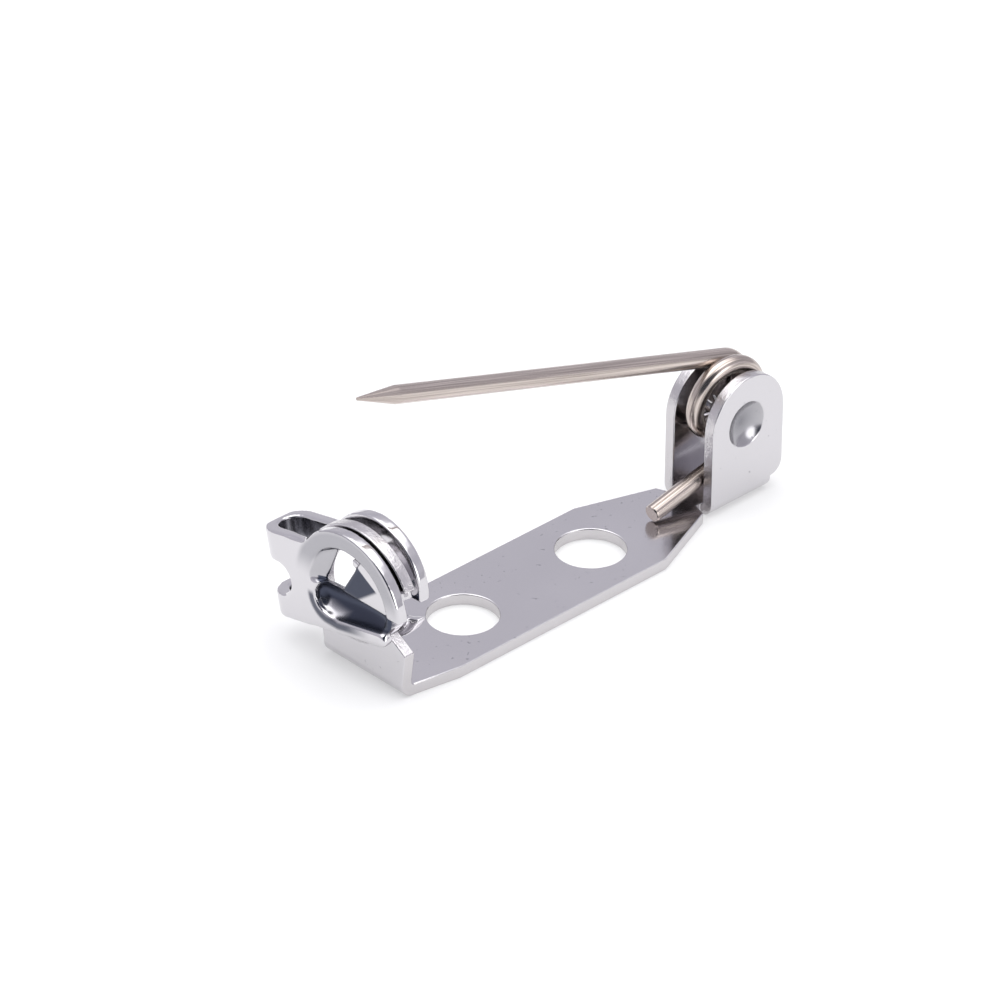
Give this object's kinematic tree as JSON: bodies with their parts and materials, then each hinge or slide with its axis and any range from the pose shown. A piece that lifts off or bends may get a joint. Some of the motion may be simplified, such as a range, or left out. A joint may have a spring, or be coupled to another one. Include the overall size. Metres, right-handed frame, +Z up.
{
  "type": "brooch pin finding",
  "caption": "Narrow metal bar with sewing holes, a hinged spring pin between rounded ears at one end and a turning locking catch at the other.",
  "frame": {"origin": "midway between the two sewing holes, on the underside of the bar", "axes": "+X along the bar from the catch to the hinge, +Y towards the catch's handle, +Z up out of the bar towards the pin"},
  "size_m": [0.0206, 0.0074, 0.011],
  "materials": {
    "plated_sheet": "bright nickel plate on stamped steel sheet",
    "plated_rotor": "bright nickel plate on folded steel sheet",
    "drawn_wire": "plated spring wire with fine drawing lines along it"
  },
  "bodies": {
    "base": {"base_plate": "plated_sheet"},
    "rotor": {"lock_rotor": "plated_rotor"},
    "pin": {"pin_tail": "drawn_wire"},
    "needle": {"pin_needle": "drawn_wire"}
  },
  "joints": [
    {"name": "pin_hinge", "type": "hinge", "parent": "base", "child": "pin", "pos_m": [0.00997, 0.00009, 0.00408], "axis": [0, 1, 0], "range_deg": [0, 110]},
    {"name": "coil_spring", "type": "hinge", "parent": "pin", "child": "needle", "pos_m": [0.00997, 0.00009, 0.00408], "axis": [0, 1, 0], "range_deg": [-6, 0], "stiffness_Nm_per_rad": 0.02},
    {"name": "catch_turn", "type": "hinge", "parent": "base", "child": "rotor", "pos_m": [-0.0077, 0.00015, 0.0033], "axis": [1, 0, 0], "range_deg": [0, 100]}
  ]
}
